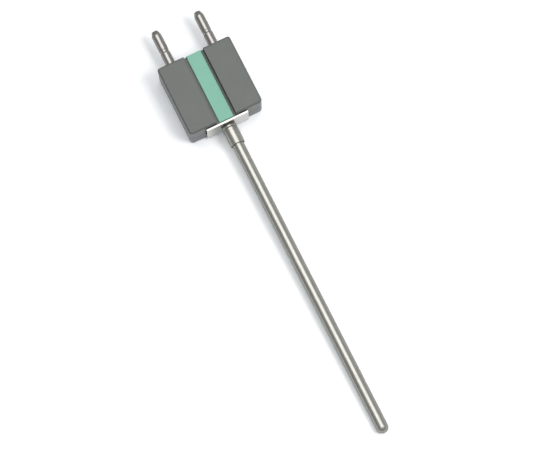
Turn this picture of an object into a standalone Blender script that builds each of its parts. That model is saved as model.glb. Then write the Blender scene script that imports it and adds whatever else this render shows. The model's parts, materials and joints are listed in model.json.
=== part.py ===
"""Thermocouple probe with a twin-pin plug.

A steel sheath with a closed round tip carries two thermoelement wires to a plug with two round pins. The
plug body is two moulded covers, with a colour stripe in a groove on the front. A folded steel plate holds
the sheath's ferrule against the probe end of the body.

Every piece is placed in the probe's own axes: X runs along the sheath to the tip, Y across the pins, Z up
out of the front cover, and the origin lies on the sheath's axis at the probe end of the body. The empty
probe_frame then lays the whole probe down as it comes to rest on a table, on the rear cover's edge and on
the tip, with the centre of its bounding box above the world's origin. Lengths are in metres.
"""

import math

import bmesh
import bpy

MM = 0.001

# Clearances
GAP = 0.3 * MM            # between pieces that touch or slide into each other
SLEEVE_GAP = 0.2 * MM     # between the ferrule and the sheath it is crimped on
JOIN = 0.5 * MM           # how far a rib or boss sinks into the wall that it grows from
REACH = 1.0 * MM          # how far a cutter stands out of the wall that it cuts

# Pins, at the spacing of a twin-pin plug
PIN_SPACING = 19.05 * MM
PIN_DIAMETER = 4.0 * MM
PIN_LENGTH = 16.7 * MM    # outside the body
NOSE_DIAMETER = 2.6 * MM
NOSE_LENGTH = 2.0 * MM
RING_FROM_NOSE = 8.6 * MM
RING_WIDTH = 1.8 * MM
RING_DEPTH = 0.18 * MM
RING_SLOPE = 0.5 * MM     # length of the slope at each side of the ring
COLLAR_DIAMETER = 6.0 * MM
COLLAR_LENGTH = 1.6 * MM
TAIL_DIAMETER = 2.4 * MM
TAIL_LENGTH = 4.0 * MM    # inside the terminal block

# Terminals
BLOCK_WIDTH = 7.0 * MM
BLOCK_ROOF = 0.6 * MM     # metal above the tail
BLOCK_SOLE = 1.6 * MM     # metal below the tail
BLOCK_WEB = 0.4 * MM      # metal between the tail and the screw
BLOCK_LIP = 0.2 * MM      # block beyond the washer
BLOCK_FLOOR = 0.8 * MM    # metal below the screw
WASHER_SIZE = 4.6 * MM
WASHER_THICKNESS = 0.5 * MM
TERMINAL_SCREW_DIAMETER = 2.0 * MM
TERMINAL_HEAD_DIAMETER = 3.8 * MM
TERMINAL_HEAD_HEIGHT = 0.8 * MM
SLOT_WIDTH = 0.6 * MM
SLOT_DEPTH = 0.4 * MM

# Sheath and what it holds
SHEATH_DIAMETER = 4.8 * MM
SHEATH_WALL = 0.5 * MM
SHEATH_REACH = 137.7 * MM  # from the body to the tip
SHEATH_TAIL = 7.0 * MM     # inside the body
CORE_SHORT = 4.5 * MM      # from the core's end to the sheath's tip
WIRE_DIAMETER = 0.6 * MM
WIRE_SPREAD = 1.6 * MM     # between the two wires in the core
SEAL_LENGTH = 3.0 * MM
JUNCTION_DIAMETER = 2.0 * MM

# Ferrule
BEAD_LENGTH = 1.2 * MM
BEAD_DEPTH = 0.35 * MM
FERRULE_DIAMETER = 6.0 * MM
FERRULE_LENGTH = 7.3 * MM  # beyond the bead
FERRULE_BEVEL = 0.25 * MM

# End plate
PLATE_WIDTH = 18.4 * MM
PLATE_HEIGHT = 10.2 * MM
PLATE_THICKNESS = 0.9 * MM
LEG_HEIGHT = 4.0 * MM
HOOK_HEIGHT = 6.0 * MM
HOOK_LENGTH = 1.6 * MM

# Plug body
SKIN = 1.5 * MM           # front and rear faces
SIDE_WALL = 1.8 * MM
PIN_WALL = 2.2 * MM
PROBE_WALL = 2.0 * MM
PIN_RIB = 1.4 * MM        # behind the pins' collars
BLOCK_SIDE_SPACE = 1.175 * MM
WIRING_SPACE = 14.0 * MM  # between the terminal blocks and the probe wall
PROBE_CORNER = 1.6 * MM
PIN_CORNER = 1.0 * MM
FRONT_EDGE = 0.8 * MM
REAR_EDGE = 0.9 * MM
EDGE_LIMIT = 0.95         # most of a corner's radius that the rounding of an edge may take
PAD_INSET = 0.6 * MM      # from a terminal block's outline to the pad under it

# Colour stripe and its groove
STRIPE_WIDTH = 6.2 * MM
STRIPE_THICKNESS = 0.7 * MM
STRIPE_MARGIN = 1.2 * MM
STRIPE_RECESS = 1.6 * MM
GROOVE_SKIN = 1.2 * MM

# Cover screws
COVER_SCREW_DIAMETER = 2.2 * MM
COVER_HEAD_DIAMETER = 3.6 * MM
COVER_HEAD_HEIGHT = 1.2 * MM
HEAD_RECESS = 0.4 * MM
BOSS_WALL = 0.8 * MM
PILOT_DEPTH = 2.6 * MM    # into the front cover, from the parting plane

# Fineness of round forms
SEGMENTS = 32
ARC_STEPS = 6
CORNER_STEPS = 4
BALL_SEGMENTS = 16
BALL_RINGS = 10
BEND_STEPS = 12           # along the bent part of a wire
WIRE_STEPS = 2            # in a quarter of a wire's section
MERGE_DISTANCE = 0.001 * MM
SAME_HEIGHT = 0.03 * MM   # largest difference between two points that count as level
SHARP_ANGLE = math.radians(35)

# Sizes that follow
PIN_Y = PIN_SPACING / 2
PIN_RADIUS = PIN_DIAMETER / 2
TAIL_RADIUS = TAIL_DIAMETER / 2
WIRE_RADIUS = WIRE_DIAMETER / 2
SHEATH_RADIUS = SHEATH_DIAMETER / 2
SHEATH_BORE = SHEATH_RADIUS - SHEATH_WALL
CORE_RADIUS = SHEATH_BORE - GAP
PARTING = GAP / 2

# Heights of the terminal stack above the pins' axis
BLOCK_TOP = TAIL_RADIUS + GAP + BLOCK_ROOF
BLOCK_BOTTOM = -(TAIL_RADIUS + GAP + BLOCK_SOLE)
WIRE_HEIGHT = BLOCK_TOP + GAP + WIRE_RADIUS
WASHER_BOTTOM = WIRE_HEIGHT + WIRE_RADIUS + GAP
TERMINAL_HEAD_BOTTOM = WASHER_BOTTOM + WASHER_THICKNESS + GAP
TERMINAL_HEAD_TOP = TERMINAL_HEAD_BOTTOM + TERMINAL_HEAD_HEIGHT

# The covers are as deep as the terminal stack, or as the groove over the sheath if that needs more
GROOVE_DEPTH = STRIPE_RECESS + STRIPE_THICKNESS + GAP
HALF_DEPTH = max(TERMINAL_HEAD_TOP + GAP + SKIN, SHEATH_RADIUS + GAP + GROOVE_SKIN + GROOVE_DEPTH)
CAVITY_HEIGHT = HALF_DEPTH - SKIN
GROOVE_FLOOR = HALF_DEPTH - GROOVE_DEPTH
MIDDLE_HEIGHT = GROOVE_FLOOR - GROOVE_SKIN
GROOVE_HALF = STRIPE_WIDTH / 2 + STRIPE_MARGIN

# Places along the body, from the pin end to the probe end
BLOCK_SCREW_RADIUS = TERMINAL_SCREW_DIAMETER / 2
BLOCK_HOLE_RADIUS = BLOCK_SCREW_RADIUS + GAP
BLOCK_LENGTH = TAIL_LENGTH + GAP + BLOCK_WEB + BLOCK_HOLE_RADIUS + WASHER_SIZE / 2 + BLOCK_LIP
PIN_SEAT = PIN_WALL + GAP + COLLAR_LENGTH + GAP + PIN_RIB + GAP
BODY_LENGTH = PIN_SEAT + BLOCK_LENGTH + WIRING_SPACE + PROBE_WALL
PIN_FACE = -BODY_LENGTH
COLLAR_START = PIN_FACE + PIN_WALL + GAP
RIB_START = COLLAR_START + COLLAR_LENGTH + GAP
BLOCK_START = RIB_START + PIN_RIB + GAP
BLOCK_END = BLOCK_START + BLOCK_LENGTH
TERMINAL_SCREW_X = BLOCK_START + TAIL_LENGTH + GAP + BLOCK_WEB + BLOCK_HOLE_RADIUS
BODY_WIDTH = PIN_SPACING + BLOCK_WIDTH + 2 * (BLOCK_SIDE_SPACE + SIDE_WALL)
SIDE_INNER = BODY_WIDTH / 2 - SIDE_WALL

# End plate and ferrule
PLATE_BACK = GAP
PLATE_FRONT = PLATE_BACK + PLATE_THICKNESS
LEG_Y = (PLATE_WIDTH - PLATE_THICKNESS) / 2
HOOK_START = -(PROBE_WALL + GAP)
HOOK_END = HOOK_START - HOOK_LENGTH
BEAD_START = PLATE_FRONT + GAP
SLEEVE_START = BEAD_START + BEAD_LENGTH
SLEEVE_END = SLEEVE_START + FERRULE_LENGTH

# Cover screws: one between the pins, two behind the hooks of the end plate
HEAD_RADIUS = COVER_HEAD_DIAMETER / 2
COUNTERBORE_RADIUS = HEAD_RADIUS + GAP
COUNTERBORE_FLOOR = -HALF_DEPTH + HEAD_RECESS + COVER_HEAD_HEIGHT + GAP
BOSS_RADIUS = COUNTERBORE_RADIUS + BOSS_WALL
SCREW_HOLE_RADIUS = COVER_SCREW_DIAMETER / 2 + GAP
SCREW_BACK_X = PIN_FACE + PIN_WALL + GAP + BOSS_RADIUS
SCREW_FRONT_X = HOOK_END - GAP - BOSS_RADIUS
SCREW_FRONT_Y = SIDE_INNER + JOIN - BOSS_RADIUS
SCREWS = (
    ("middle", SCREW_BACK_X, 0.0),
    ("left", SCREW_FRONT_X, -SCREW_FRONT_Y),
    ("right", SCREW_FRONT_X, SCREW_FRONT_Y),
)
SIDES = (("positive", 1), ("negative", -1))

# Inside of the sheath
SEAL_START = -SHEATH_TAIL
SEAL_END = SEAL_START + SEAL_LENGTH
CORE_START = SEAL_END + GAP
CORE_END = SHEATH_REACH - CORE_SHORT
WIRE_BORE = WIRE_RADIUS + GAP
TIP_CENTRE = SHEATH_REACH - SHEATH_RADIUS
JUNCTION_X = CORE_END + GAP + WIRE_DIAMETER + JUNCTION_DIAMETER / 2

# An edge's rounding stays inside the corners that it runs round
LARGEST_ROUNDING = EDGE_LIMIT * min(PROBE_CORNER, PIN_CORNER)
FRONT_ROUNDING = min(FRONT_EDGE, LARGEST_ROUNDING)
REAR_ROUNDING = min(REAR_EDGE, LARGEST_ROUNDING)

# How the probe lies: the table touches the rear edge of the body and the round tip
EDGE_X = -REAR_ROUNDING
EDGE_Z = -HALF_DEPTH + REAR_ROUNDING
SPAN = math.hypot(TIP_CENTRE - EDGE_X, EDGE_Z)
LEAN = math.atan2(-EDGE_Z, TIP_CENTRE - EDGE_X) - math.asin((SHEATH_RADIUS - REAR_ROUNDING) / SPAN)
NOSE_X = PIN_FACE - PIN_LENGTH
FAR_LEFT = NOSE_X * math.cos(LEAN) - NOSE_DIAMETER / 2 * math.sin(LEAN)
FAR_RIGHT = TIP_CENTRE * math.cos(LEAN) + SHEATH_RADIUS
FRAME_X = -(FAR_LEFT + FAR_RIGHT) / 2
FRAME_Z = REAR_ROUNDING + EDGE_X * math.sin(LEAN) - EDGE_Z * math.cos(LEAN)

# Each material's linear red, green and blue, its roughness, and 1 for a metal
FINISHES = {
    "front_plastic": ((0.17, 0.175, 0.168), 0.55, 0.0),
    "rear_plastic": ((0.18, 0.187, 0.19), 0.55, 0.0),
    "stripe_plastic": ((0.23, 0.57, 0.43), 0.5, 0.0),
    "pin_nickel": ((0.66, 0.63, 0.58), 0.25, 1.0),
    "plate_steel": ((0.72, 0.71, 0.69), 0.2, 1.0),
    "sheath_steel": ((0.62, 0.61, 0.58), 0.3, 1.0),
    "terminal_brass": ((0.72, 0.52, 0.22), 0.35, 1.0),
    "screw_zinc": ((0.60, 0.61, 0.62), 0.35, 1.0),
    "core_ceramic": ((0.86, 0.85, 0.80), 0.8, 0.0),
    "wire_alloy": ((0.50, 0.47, 0.43), 0.4, 1.0),
    "seal_resin": ((0.10, 0.10, 0.09), 0.5, 0.0),
}


def clear_scene():
    """Remove every object, so that the script can be run again in the same file."""
    for item in list(bpy.data.objects):
        bpy.data.objects.remove(item, do_unlink=True)


def new_collection(name):
    group = bpy.data.collections.new(name)
    bpy.context.scene.collection.children.link(group)
    return group


def new_material(name, colour, roughness, metallic):
    material = bpy.data.materials.new(name)
    material.use_nodes = True
    shader = material.node_tree.nodes["Principled BSDF"]
    shader.inputs["Base Color"].default_value = (*colour, 1.0)
    shader.inputs["Roughness"].default_value = roughness
    shader.inputs["Metallic"].default_value = metallic
    return material


class Bench:
    """A collection for the probe, one for the cutters, and the empty that carries both."""

    def __init__(self):
        self.parts = new_collection("thermocouple_probe")
        self.cutters = new_collection("cutters")
        self.frame = bpy.data.objects.new("probe_frame", None)
        self.frame.location = (FRAME_X, 0.0, FRAME_Z)
        self.frame.rotation_euler = (0.0, LEAN, 0.0)
        self.parts.objects.link(self.frame)

    def place(self, name, data, material):
        piece = bpy.data.objects.new(name, data)
        self.parts.objects.link(piece)
        piece.parent = self.frame
        data.materials.append(material)
        return piece

    def place_tool(self, name, mesh):
        """A shape that only cuts or joins: it is kept out of renders."""
        tool = bpy.data.objects.new(name, mesh)
        self.cutters.objects.link(tool)
        tool.parent = self.frame
        tool.hide_render = True
        tool.display_type = 'WIRE'
        return tool


def finish_mesh(name, builder):
    mesh = bpy.data.meshes.new(name)
    builder.to_mesh(mesh)
    builder.free()
    return mesh


def box_builder(low, high):
    """A cube stretched between two opposite corners."""
    builder = bmesh.new()
    bmesh.ops.create_cube(builder, size=1.0)
    size = [b - a for a, b in zip(low, high)]
    middle = [(a + b) / 2 for a, b in zip(low, high)]
    bmesh.ops.scale(builder, vec=size, verts=builder.verts)
    bmesh.ops.translate(builder, vec=middle, verts=builder.verts)
    return builder


def box_mesh(name, low, high):
    return finish_mesh(name, box_builder(low, high))


def rod_mesh(name, radius, length):
    """A cylinder along Z, from the origin up."""
    builder = bmesh.new()
    bmesh.ops.create_cone(
        builder, cap_ends=True, segments=SEGMENTS, radius1=radius, radius2=radius, depth=length,
    )
    bmesh.ops.translate(builder, vec=(0.0, 0.0, length / 2), verts=builder.verts)
    return finish_mesh(name, builder)


def box_tool(bench, name, low, high):
    return bench.place_tool(name, box_mesh(name, low, high))


def rod_along_x(bench, name, radius, start, end, y=0.0, z=0.0):
    tool = bench.place_tool(name, rod_mesh(name, radius, end - start))
    tool.location = (start, y, z)
    tool.rotation_euler = (0.0, math.pi / 2, 0.0)
    return tool


def rod_along_z(bench, name, radius, x, y, bottom, top):
    tool = bench.place_tool(name, rod_mesh(name, radius, top - bottom))
    tool.location = (x, y, bottom)
    return tool


def combine(target, tool, operation):
    step = target.modifiers.new(tool.name, 'BOOLEAN')
    step.operation = operation
    step.object = tool
    return step


def cut(target, *tools):
    for tool in tools:
        combine(target, tool, 'DIFFERENCE')


def join(target, *tools):
    for tool in tools:
        combine(target, tool, 'UNION')


def smooth(piece):
    piece.data.shade_smooth()
    piece.data.set_sharp_from_angle(angle=SHARP_ANGLE)


def quarter_round(centre_x, radius):
    """Points (x, r) of a quarter circle, from the pole on the axis back to the full radius."""
    turn = [math.pi / 2 * k / ARC_STEPS for k in range(1, ARC_STEPS)]
    middle = [(centre_x + radius * math.cos(a), radius * math.sin(a)) for a in turn]
    return [(centre_x + radius, 0.0)] + middle + [(centre_x, radius)]


def turned_about_z(bench, name, profile, material, closed=False):
    """A piece turned about its own Z. The profile's (z, r) points run down from the top."""
    mesh = bpy.data.meshes.new(name)
    edges = [(k, k + 1) for k in range(len(profile) - 1)]
    if closed:
        edges.append((len(profile) - 1, 0))
    mesh.from_pydata([(r, 0.0, z) for z, r in profile], edges, [])
    piece = bench.place(name, mesh, material)
    turn = piece.modifiers.new("turn", 'SCREW')
    turn.axis = 'Z'
    turn.angle = math.tau
    turn.steps = SEGMENTS
    turn.render_steps = SEGMENTS
    turn.use_merge_vertices = True
    turn.merge_threshold = MERGE_DISTANCE
    turn.use_smooth_shade = True
    return piece


def turned(bench, name, profile, material, closed=False, y=0.0):
    """A piece turned about the X direction. The profile's (x, r) points run from the tip to the pins."""
    piece = turned_about_z(bench, name, profile, material, closed)
    piece.location = (0.0, y, 0.0)
    piece.rotation_euler = (0.0, math.pi / 2, 0.0)
    return piece


def cover_mesh(name, outer, inner, rounding):
    """Half of the plug body: rounded corners at both ends and a rounded edge round its outer face."""
    low = (PIN_FACE, -BODY_WIDTH / 2, min(outer, inner))
    high = (0.0, BODY_WIDTH / 2, max(outer, inner))
    builder = box_builder(low, high)
    half_length = BODY_LENGTH / 2
    for at_probe_end, radius in ((True, PROBE_CORNER), (False, PIN_CORNER)):
        upright = [
            e for e in builder.edges
            if abs(e.verts[0].co.z - e.verts[1].co.z) > abs(outer - inner) / 2
            and (e.verts[0].co.x > -half_length) == at_probe_end
        ]
        bmesh.ops.bevel(
            builder, geom=upright, offset=radius, segments=CORNER_STEPS, profile=0.5, affect='EDGES',
        )
    rim = [
        e for e in builder.edges
        if all(abs(v.co.z - outer) < SAME_HEIGHT for v in e.verts)
    ]
    bmesh.ops.bevel(
        builder, geom=rim, offset=rounding, segments=CORNER_STEPS, profile=0.5, affect='EDGES',
    )
    return finish_mesh(name, builder)


def shared_openings(bench):
    """Cutters that go through both covers: sheath bore, leg slots, pin bores and tail bores."""
    tools = [rod_along_x(bench, "sheath_bore", SHEATH_RADIUS + GAP, -PROBE_WALL - REACH, REACH)]
    leg_half = PLATE_THICKNESS / 2 + GAP
    leg_height = LEG_HEIGHT / 2 + GAP
    for side, sign in SIDES:
        y = sign * LEG_Y
        tools.append(box_tool(
            bench, "leg_slot_" + side,
            (-PROBE_WALL - REACH, y - leg_half, -leg_height), (REACH, y + leg_half, leg_height),
        ))
        y = sign * PIN_Y
        tools.append(rod_along_x(
            bench, "pin_bore_" + side, PIN_RADIUS + GAP, PIN_FACE - REACH, COLLAR_START, y,
        ))
        tools.append(rod_along_x(
            bench, "tail_bore_" + side, TAIL_RADIUS + GAP, RIB_START - GAP, BLOCK_START, y,
        ))
    return tools


def add_ribs(bench, cover, name, wall_side, direction):
    """The ribs behind the pins' collars, from the outer skin to the parting plane."""
    inner_y = GROOVE_HALF + SKIN - JOIN
    for side, sign in SIDES:
        across = sorted((sign * inner_y, sign * (SIDE_INNER + JOIN)))
        upright = sorted((direction * GAP, direction * wall_side))
        join(cover, box_tool(
            bench, name + "_rib_" + side,
            (RIB_START, across[0], upright[0]), (RIB_START + PIN_RIB, across[1], upright[1]),
        ))


def front_cover(bench, material, openings):
    """The front half, with two raised flats beside the groove for the colour stripe."""
    mesh = cover_mesh("front_cover", HALF_DEPTH, PARTING, FRONT_ROUNDING)
    cover = bench.place("front_cover", mesh, material)
    inside = (PIN_FACE + PIN_WALL, -PROBE_WALL)
    cut(cover, box_tool(
        bench, "front_hollow", (inside[0], -SIDE_INNER, -REACH), (inside[1], SIDE_INNER, MIDDLE_HEIGHT),
    ))
    for side, sign in SIDES:
        across = sorted((sign * (GROOVE_HALF + SKIN), sign * SIDE_INNER))
        cut(cover, box_tool(
            bench, "front_hollow_" + side,
            (inside[0], across[0], -REACH), (inside[1], across[1], CAVITY_HEIGHT),
        ))
    cut(cover, box_tool(
        bench, "stripe_groove",
        (PIN_FACE - REACH, -GROOVE_HALF, GROOVE_FLOOR), (REACH, GROOVE_HALF, HALF_DEPTH + REACH),
    ))
    add_ribs(bench, cover, "front", CAVITY_HEIGHT + JOIN, 1)
    for place, x, y in SCREWS:
        ceiling = CAVITY_HEIGHT if y else MIDDLE_HEIGHT
        join(cover, rod_along_z(bench, "front_boss_" + place, BOSS_RADIUS, x, y, GAP, ceiling + JOIN))
    for place, x, y in SCREWS:
        top = PARTING + PILOT_DEPTH
        cut(cover, rod_along_z(bench, "pilot_" + place, SCREW_HOLE_RADIUS, x, y, -REACH, top))
    cut(cover, *openings)
    return cover


def rear_cover(bench, material, openings):
    """The rear half, with counterbored bosses for the cover screws and a pad under each terminal block."""
    mesh = cover_mesh("rear_cover", -HALF_DEPTH, -PARTING, REAR_ROUNDING)
    cover = bench.place("rear_cover", mesh, material)
    cut(cover, box_tool(
        bench, "rear_hollow",
        (PIN_FACE + PIN_WALL, -SIDE_INNER, -CAVITY_HEIGHT), (-PROBE_WALL, SIDE_INNER, REACH),
    ))
    add_ribs(bench, cover, "rear", CAVITY_HEIGHT + JOIN, -1)
    for side, sign in SIDES:
        reach_y = BLOCK_WIDTH / 2 - PAD_INSET
        join(cover, box_tool(
            bench, "pad_" + side,
            (BLOCK_START + PAD_INSET, sign * PIN_Y - reach_y, -CAVITY_HEIGHT - JOIN),
            (BLOCK_END - PAD_INSET, sign * PIN_Y + reach_y, BLOCK_BOTTOM - GAP),
        ))
    for place, x, y in SCREWS:
        bottom = -CAVITY_HEIGHT - JOIN
        join(cover, rod_along_z(bench, "rear_boss_" + place, BOSS_RADIUS, x, y, bottom, -GAP))
    for place, x, y in SCREWS:
        bottom = -HALF_DEPTH - REACH
        cut(
            cover,
            rod_along_z(bench, "screw_hole_" + place, SCREW_HOLE_RADIUS, x, y, bottom, REACH),
            rod_along_z(bench, "counterbore_" + place, COUNTERBORE_RADIUS, x, y, bottom, COUNTERBORE_FLOOR),
        )
    cut(cover, *openings)
    return cover


def colour_stripe(bench, material):
    bottom = GROOVE_FLOOR + GAP
    mesh = box_mesh(
        "colour_stripe",
        (PIN_FACE, -STRIPE_WIDTH / 2, bottom), (0.0, STRIPE_WIDTH / 2, bottom + STRIPE_THICKNESS),
    )
    return bench.place("colour_stripe", mesh, material)


def pin(bench, side, sign, material):
    """A turned pin: blunt nose, shallow ring, shank, collar between the covers, and tail in its block."""
    nose_end = NOSE_X + NOSE_LENGTH
    ring = NOSE_X + RING_FROM_NOSE
    profile = [
        (BLOCK_START + TAIL_LENGTH, 0.0),
        (BLOCK_START + TAIL_LENGTH, TAIL_RADIUS),
        (COLLAR_START + COLLAR_LENGTH, TAIL_RADIUS),
        (COLLAR_START + COLLAR_LENGTH, COLLAR_DIAMETER / 2),
        (COLLAR_START, COLLAR_DIAMETER / 2),
        (COLLAR_START, PIN_RADIUS),
        (ring + RING_WIDTH, PIN_RADIUS),
        (ring + RING_WIDTH - RING_SLOPE, PIN_RADIUS - RING_DEPTH),
        (ring + RING_SLOPE, PIN_RADIUS - RING_DEPTH),
        (ring, PIN_RADIUS),
        (nose_end, PIN_RADIUS),
        (NOSE_X, NOSE_DIAMETER / 2),
        (NOSE_X, 0.0),
    ]
    return turned(bench, "pin_" + side, profile, material, y=sign * PIN_Y)


def terminal_block(bench, side, sign, material):
    """A brass block on the pin's tail, with a blind hole for its screw."""
    y = sign * PIN_Y
    half = BLOCK_WIDTH / 2
    name = "terminal_block_" + side
    mesh = box_mesh(name, (BLOCK_START, y - half, BLOCK_BOTTOM), (BLOCK_END, y + half, BLOCK_TOP))
    block = bench.place(name, mesh, material)
    cut(
        block,
        rod_along_x(
            bench, "tail_hole_" + side, TAIL_RADIUS + GAP,
            BLOCK_START - REACH, BLOCK_START + TAIL_LENGTH + GAP, y,
        ),
        rod_along_z(
            bench, "terminal_hole_" + side, BLOCK_HOLE_RADIUS, TERMINAL_SCREW_X, y,
            BLOCK_BOTTOM + BLOCK_FLOOR, BLOCK_TOP + REACH,
        ),
    )
    return block


def clamp_washer(bench, side, sign, material):
    """The square washer that holds the wire down on the block."""
    y = sign * PIN_Y
    half = WASHER_SIZE / 2
    name = "clamp_washer_" + side
    mesh = box_mesh(
        name, (TERMINAL_SCREW_X - half, y - half, WASHER_BOTTOM),
        (TERMINAL_SCREW_X + half, y + half, WASHER_BOTTOM + WASHER_THICKNESS),
    )
    washer = bench.place(name, mesh, material)
    cut(washer, rod_along_z(
        bench, "washer_hole_" + side, BLOCK_HOLE_RADIUS, TERMINAL_SCREW_X, y,
        WASHER_BOTTOM - REACH, WASHER_BOTTOM + WASHER_THICKNESS + REACH,
    ))
    return washer


def slotted_screw(bench, name, x, y, head, shank, material):
    """A screw along Z. head is (radius, under side, top) and shank is (radius, tip), heights in the body."""
    head_radius, under, top = head
    shank_radius, tip = shank
    direction = 1 if top > under else -1
    profile = [
        (top, 0.0), (top, head_radius), (under, head_radius),
        (under, shank_radius), (tip, shank_radius), (tip, 0.0),
    ]
    if direction < 0:
        profile.reverse()
    piece = turned_about_z(bench, name, profile, material)
    piece.location = (x, y, 0.0)
    depths = sorted((top - direction * SLOT_DEPTH, top + direction * REACH))
    cut(piece, box_tool(
        bench, name + "_slot",
        (x - head_radius - REACH, y - SLOT_WIDTH / 2, depths[0]),
        (x + head_radius + REACH, y + SLOT_WIDTH / 2, depths[1]),
    ))
    return piece


def terminal_screw(bench, side, sign, material):
    return slotted_screw(
        bench, "terminal_screw_" + side, TERMINAL_SCREW_X, sign * PIN_Y,
        (TERMINAL_HEAD_DIAMETER / 2, TERMINAL_HEAD_BOTTOM, TERMINAL_HEAD_TOP),
        (BLOCK_SCREW_RADIUS, BLOCK_BOTTOM + BLOCK_FLOOR + GAP), material,
    )


def cover_screw(bench, place, x, y, material):
    """A screw from the rear, through the rear cover into the front cover's boss."""
    return slotted_screw(
        bench, "cover_screw_" + place, x, y,
        (HEAD_RADIUS, COUNTERBORE_FLOOR - GAP, COUNTERBORE_FLOOR - GAP - COVER_HEAD_HEIGHT),
        (COVER_SCREW_DIAMETER / 2, PARTING + PILOT_DEPTH - GAP), material,
    )


def end_plate(bench, material):
    """A folded sheet: the plate across the probe end, with a hooked leg at each side held by the covers."""
    builder = box_builder(
        (PLATE_BACK, -PLATE_WIDTH / 2, -PLATE_HEIGHT / 2),
        (PLATE_FRONT, PLATE_WIDTH / 2, PLATE_HEIGHT / 2),
    )
    folds = [
        e for e in builder.edges
        if all(v.co.x > (PLATE_BACK + PLATE_FRONT) / 2 for v in e.verts)
        and abs(e.verts[0].co.z - e.verts[1].co.z) > PLATE_HEIGHT / 2
    ]
    half = PLATE_THICKNESS / 2
    bmesh.ops.bevel(builder, geom=folds, offset=half, segments=CORNER_STEPS, profile=0.5, affect='EDGES')
    plate = bench.place("end_plate", finish_mesh("end_plate", builder), material)
    for side, sign in SIDES:
        y = sign * LEG_Y
        join(
            plate,
            box_tool(
                bench, "leg_" + side,
                (HOOK_START - HOOK_LENGTH / 2, y - half, -LEG_HEIGHT / 2),
                (PLATE_BACK + PLATE_THICKNESS / 3, y + half, LEG_HEIGHT / 2),
            ),
            box_tool(
                bench, "hook_" + side,
                (HOOK_END, y - half, -HOOK_HEIGHT / 2), (HOOK_START, y + half, HOOK_HEIGHT / 2),
            ),
        )
    cut(plate, rod_along_x(
        bench, "plate_hole", SHEATH_RADIUS + GAP, PLATE_BACK - REACH, PLATE_FRONT + REACH,
    ))
    return plate


def ferrule(bench, material):
    """A sleeve on the sheath, with a rounded bead next to the plate."""
    outer = FERRULE_DIAMETER / 2
    bore = SHEATH_RADIUS + SLEEVE_GAP
    neck = outer - BEAD_DEPTH
    bead_middle = BEAD_START + BEAD_LENGTH / 2
    bead = [
        (bead_middle + BEAD_LENGTH / 2 * math.cos(a), neck + BEAD_DEPTH * math.sin(a))
        for a in [math.pi * k / ARC_STEPS for k in range(ARC_STEPS + 1)]
    ]
    profile = [
        (SLEEVE_END, bore),
        (SLEEVE_END, outer - FERRULE_BEVEL),
        (SLEEVE_END - FERRULE_BEVEL, outer),
        (SLEEVE_START + FERRULE_BEVEL, outer),
    ]
    profile += bead
    profile.append((BEAD_START, bore))
    return turned(bench, "ferrule", profile, material, closed=True)


def sheath(bench, material):
    """A tube with a closed round tip, open inside the body."""
    profile = quarter_round(TIP_CENTRE, SHEATH_RADIUS)
    profile += [(SEAL_START, SHEATH_RADIUS), (SEAL_START, SHEATH_BORE)]
    profile += reversed(quarter_round(TIP_CENTRE, SHEATH_BORE))
    return turned(bench, "sheath", profile, material)


def bored_rod(bench, name, start, end, material):
    """A rod that fits in the sheath, with a bore for each wire."""
    piece = bench.place(name, rod_mesh(name, CORE_RADIUS, end - start), material)
    piece.location = (start, 0.0, 0.0)
    piece.rotation_euler = (0.0, math.pi / 2, 0.0)
    smooth(piece)
    for side, sign in SIDES:
        cut(piece, rod_along_x(
            bench, name + "_bore_" + side, WIRE_BORE, start - REACH, end + REACH, sign * WIRE_SPREAD / 2,
        ))
    return piece


def bezier(a, b, c, d):
    """Points of a cubic curve that starts at a towards b, and ends at d coming from c."""
    points = []
    for k in range(BEND_STEPS + 1):
        t = k / BEND_STEPS
        weights = ((1 - t) ** 3, 3 * t * (1 - t) ** 2, 3 * t * t * (1 - t), t ** 3)
        points.append(tuple(sum(w * p[i] for w, p in zip(weights, (a, b, c, d))) for i in range(3)))
    return points


def thermoelement(bench, side, sign, material):
    """A wire from the junction through the core and the seal, over the block and under its washer."""
    core_y = sign * WIRE_SPREAD / 2
    clamp_y = sign * (PIN_Y - BLOCK_HOLE_RADIUS - GAP - WIRE_RADIUS)
    mouth = SEAL_START - WIRE_DIAMETER
    landing = BLOCK_END + WIRE_DIAMETER
    run = mouth - landing
    points = [(CORE_END + GAP, core_y, 0.0)]
    points += bezier(
        (mouth, core_y, 0.0), (mouth - run / 2, core_y, 0.0),
        (landing + run / 2, clamp_y, WIRE_HEIGHT), (landing, clamp_y, WIRE_HEIGHT),
    )
    points.append((TERMINAL_SCREW_X - WASHER_SIZE / 2, clamp_y, WIRE_HEIGHT))
    name = "thermoelement_" + side
    curve = bpy.data.curves.new(name, 'CURVE')
    curve.dimensions = '3D'
    curve.bevel_depth = WIRE_RADIUS
    curve.bevel_resolution = WIRE_STEPS
    curve.use_fill_caps = True
    spline = curve.splines.new('POLY')
    spline.points.add(len(points) - 1)
    for knot, point in zip(spline.points, points):
        knot.co = (*point, 1.0)
    return bench.place(name, curve, material)


def measuring_junction(bench, material):
    """The welded bead that joins the two wires."""
    builder = bmesh.new()
    bmesh.ops.create_uvsphere(
        builder, u_segments=BALL_SEGMENTS, v_segments=BALL_RINGS, radius=JUNCTION_DIAMETER / 2,
    )
    bead = bench.place("measuring_junction", finish_mesh("measuring_junction", builder), material)
    bead.location = (JUNCTION_X, 0.0, 0.0)
    smooth(bead)
    return bead


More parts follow.
